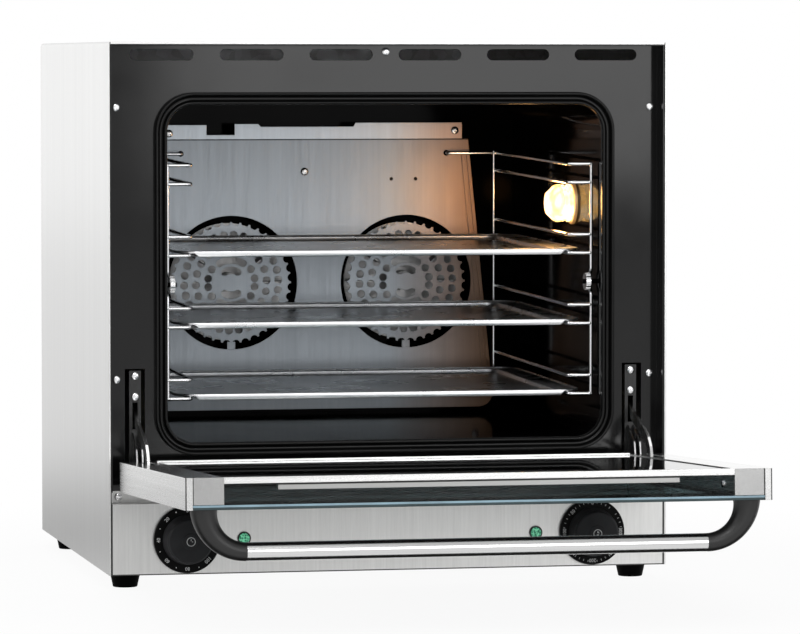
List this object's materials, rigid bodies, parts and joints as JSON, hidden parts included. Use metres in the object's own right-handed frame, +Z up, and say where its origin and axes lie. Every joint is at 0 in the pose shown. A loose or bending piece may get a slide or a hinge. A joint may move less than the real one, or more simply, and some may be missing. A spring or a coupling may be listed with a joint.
{
  "type": "convection oven",
  "caption": "Countertop convection oven with a steel casing, enamelled chamber, wire side racks, trays, fans behind a perforated baffle and a drop-down glazed door.",
  "frame": {"origin": "on the surface the feet stand on, under the middle of the whole with the door open", "axes": "+X to the oven's right side as seen from the front, +Y to its back, +Z up"},
  "size_m": [0.595, 0.9758, 0.57],
  "materials": {
    "casing_steel": "fine brushed stainless steel sheet",
    "baffle_steel": "smooth matt stainless steel sheet",
    "plain_steel": "bright zinc-plated steel",
    "black_enamel": "glossy black enamel",
    "gasket_rubber": "semi-gloss black silicone",
    "rack_chrome": "polished chromed wire",
    "tray_aluminium": "pressed aluminium sheet, satin",
    "fan_metal": "plain pressed aluminised steel",
    "motor_metal": "dull dark motor body",
    "heater_metal": "darkened tubular heater sheath",
    "blanket": "mineral wool with a matt skin",
    "lens_glass": "heat-proof pressed glass",
    "lamp_metal": "satin lamp holder",
    "black_plastic": "black moulded phenolic plastic",
    "knob_plastic": "black knob with white markings",
    "switch_plastic": "pale moulded switch body",
    "lens_green": "green lamp lens",
    "foot_rubber": "black rubber foot",
    "outer_pane": "toughened clear glass, blue-green at the edge",
    "inner_pane": "toughened clear glass, slightly dark",
    "handle_steel": "polished stainless steel tube",
    "bulb_glass": "lit lamp bulb"
  },
  "bodies": {
    "oven": {"outer_casing": "casing_steel", "base_plate": "plain_steel", "rear_panel": "plain_steel", "cable_gland": "black_plastic", "front_frame": "black_enamel", "control_panel": "casing_steel", "door_gasket": "gasket_rubber", "chamber_shell": "black_enamel", "insulation_blanket": "blanket", "feet": "foot_rubber", "cabinet_screws": "rack_chrome", "fan_motor_right": "motor_metal", "fan_motor_left": "motor_metal", "heater_ring_right": "heater_metal", "heater_ring_left": "heater_metal", "fan_baffle": "baffle_steel", "fan_guards": "baffle_steel", "baffle_screws": "plain_steel", "baffle_spacers": "plain_steel", "thermostat_bulb": "plain_steel", "side_rack_right": "rack_chrome", "side_rack_left": "rack_chrome", "rack_thumb_nuts": "rack_chrome", "lamp_housing": "lamp_metal", "lamp_bulb": "bulb_glass", "lamp_glass": "lens_glass", "timer_unit": "switch_plastic", "thermostat_unit": "switch_plastic", "pilot_bezels": "black_plastic", "pilot_lenses": "lens_green", "terminal_block": "switch_plastic", "hinge_bracket_right": "plain_steel", "hinge_bracket_left": "plain_steel", "hinge_pins": "plain_steel", "hinge_springs": "plain_steel"},
    "door": {"door_stile_right": "casing_steel", "door_stile_left": "casing_steel", "door_outer_glass": "outer_pane", "door_inner_glass": "inner_pane", "door_top_channel": "casing_steel", "door_bottom_rail": "casing_steel", "door_glass_bar": "casing_steel", "handle_tube": "handle_steel", "handle_bend_right": "black_plastic", "handle_bend_left": "black_plastic", "door_screws": "plain_steel", "hinge_leaf_right": "plain_steel", "hinge_leaf_left": "plain_steel", "stay_pins": "plain_steel"},
    "stay_arm_right": {"stay_arm_right": "plain_steel"},
    "stay_arm_left": {"stay_arm_left": "plain_steel"},
    "fan_wheel_right": {"fan_wheel_right": "fan_metal"},
    "fan_wheel_left": {"fan_wheel_left": "fan_metal"},
    "timer_knob": {"timer_knob": "knob_plastic", "timer_shaft": "plain_steel"},
    "thermostat_knob": {"thermostat_knob": "knob_plastic", "thermostat_shaft": "plain_steel"},
    "tray_upper": {"tray_upper": "tray_aluminium"},
    "tray_middle": {"tray_middle": "tray_aluminium"},
    "tray_lower": {"tray_lower": "tray_aluminium"}
  },
  "joints": [
    {"name": "door_hinge", "type": "hinge", "parent": "oven", "child": "door", "pos_m": [0, -0.0601, 0.11], "axis": [-1, 0, 0], "range_deg": [0, 87.5]},
    {"name": "stay_pivot_right", "type": "hinge", "parent": "door", "child": "stay_arm_right", "pos_m": [0.266, -0.10807, 0.12301], "axis": [-1, 0, 0], "range_deg": [-61.3, 0]},
    {"name": "stay_pivot_left", "type": "hinge", "parent": "door", "child": "stay_arm_left", "pos_m": [-0.266, -0.10807, 0.12301], "axis": [-1, 0, 0], "range_deg": [-61.3, 0]},
    {"name": "fan_spin_right", "type": "hinge", "parent": "oven", "child": "fan_wheel_right", "pos_m": [0.1, 0.3749, 0.302], "axis": [0, -1, 0], "continuous": true},
    {"name": "fan_spin_left", "type": "hinge", "parent": "oven", "child": "fan_wheel_left", "pos_m": [-0.1, 0.3749, 0.302], "axis": [0, -1, 0], "continuous": true},
    {"name": "timer_turn", "type": "hinge", "parent": "oven", "child": "timer_knob", "pos_m": [-0.2165, -0.0501, 0.0536], "axis": [0, 1, 0], "range_deg": [0, 300]},
    {"name": "thermostat_turn", "type": "hinge", "parent": "oven", "child": "thermostat_knob", "pos_m": [0.2165, -0.0501, 0.0536], "axis": [0, 1, 0], "range_deg": [0, 270]},
    {"name": "tray_slide_upper", "type": "slide", "parent": "oven", "child": "tray_upper", "axis": [0, 0.9999, 0.0161], "range_m": [-0.24, 0]},
    {"name": "tray_slide_middle", "type": "slide", "parent": "oven", "child": "tray_middle", "axis": [0, 0.9999, 0.0161], "range_m": [-0.24, 0]},
    {"name": "tray_slide_lower", "type": "slide", "parent": "oven", "child": "tray_lower", "axis": [0, 0.9999, 0.0161], "range_m": [-0.24, 0]}
  ],
  "couplings": [
    {"joint": "stay_pivot_right", "follows": "door_hinge", "ratio": -0.7},
    {"joint": "stay_pivot_left", "follows": "door_hinge", "ratio": -0.7}
  ]
}
